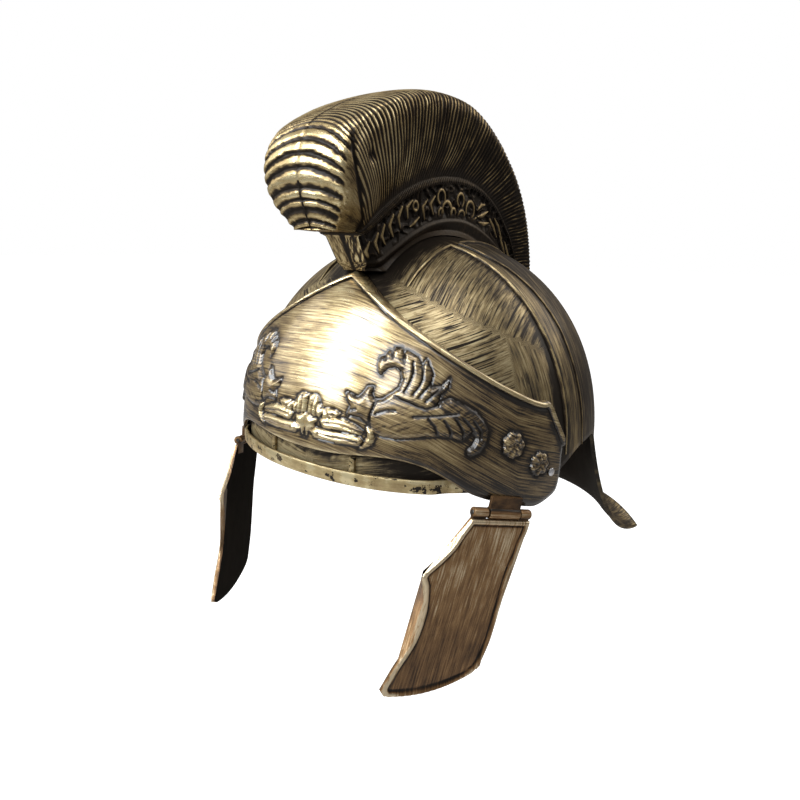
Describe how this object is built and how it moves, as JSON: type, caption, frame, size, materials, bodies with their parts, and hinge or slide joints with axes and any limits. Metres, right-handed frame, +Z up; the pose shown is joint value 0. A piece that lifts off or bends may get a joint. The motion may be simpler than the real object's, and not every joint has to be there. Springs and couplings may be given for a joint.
{
  "type": "crested costume helmet",
  "caption": "Rounded open-faced costume helmet with a tall moulded crest, a relief brow plate, a flared neck guard and cheek guards that swing on pins",
  "frame": {"origin": "centre of the head opening, level with the lower edge of the front rim", "axes": "+Z up, -Y the way the face looks, +X the wearer's left"},
  "size_m": [0.2078, 0.2533, 0.2703],
  "materials": {
    "shell": "antique brass metallic coating, gold brushed over near-black brown",
    "brow": "antique brass metallic coating with fine lengthwise brushing",
    "crest": "pale gold dry-brushed over black grooves",
    "cheek_guard": "brown copper coating brushed lengthwise, near-black inside",
    "pin": "dark steel wire",
    "rivet": "bright domed head"
  },
  "bodies": {
    "helmet": {"skull_shell": "shell", "brow_plate": "brow", "crest_left": "crest", "crest_right": "crest", "hinge_pin_left": "pin", "hinge_pin_right": "pin", "rivet_left": "rivet", "rivet_right": "rivet"},
    "left_cheek": {"cheek_guard_left": "cheek_guard"},
    "right_cheek": {"cheek_guard_right": "cheek_guard"}
  },
  "joints": [
    {"name": "left_cheek_hinge", "type": "hinge", "parent": "helmet", "child": "left_cheek", "pos_m": [0.085, -0.06, -0.008], "axis": [-0.4655, -0.8581, 0.2168], "range_deg": [-15, 75]},
    {"name": "right_cheek_hinge", "type": "hinge", "parent": "helmet", "child": "right_cheek", "pos_m": [-0.085, -0.06, -0.008], "axis": [-0.4655, 0.8581, -0.2168], "range_deg": [-15, 75]}
  ]
}
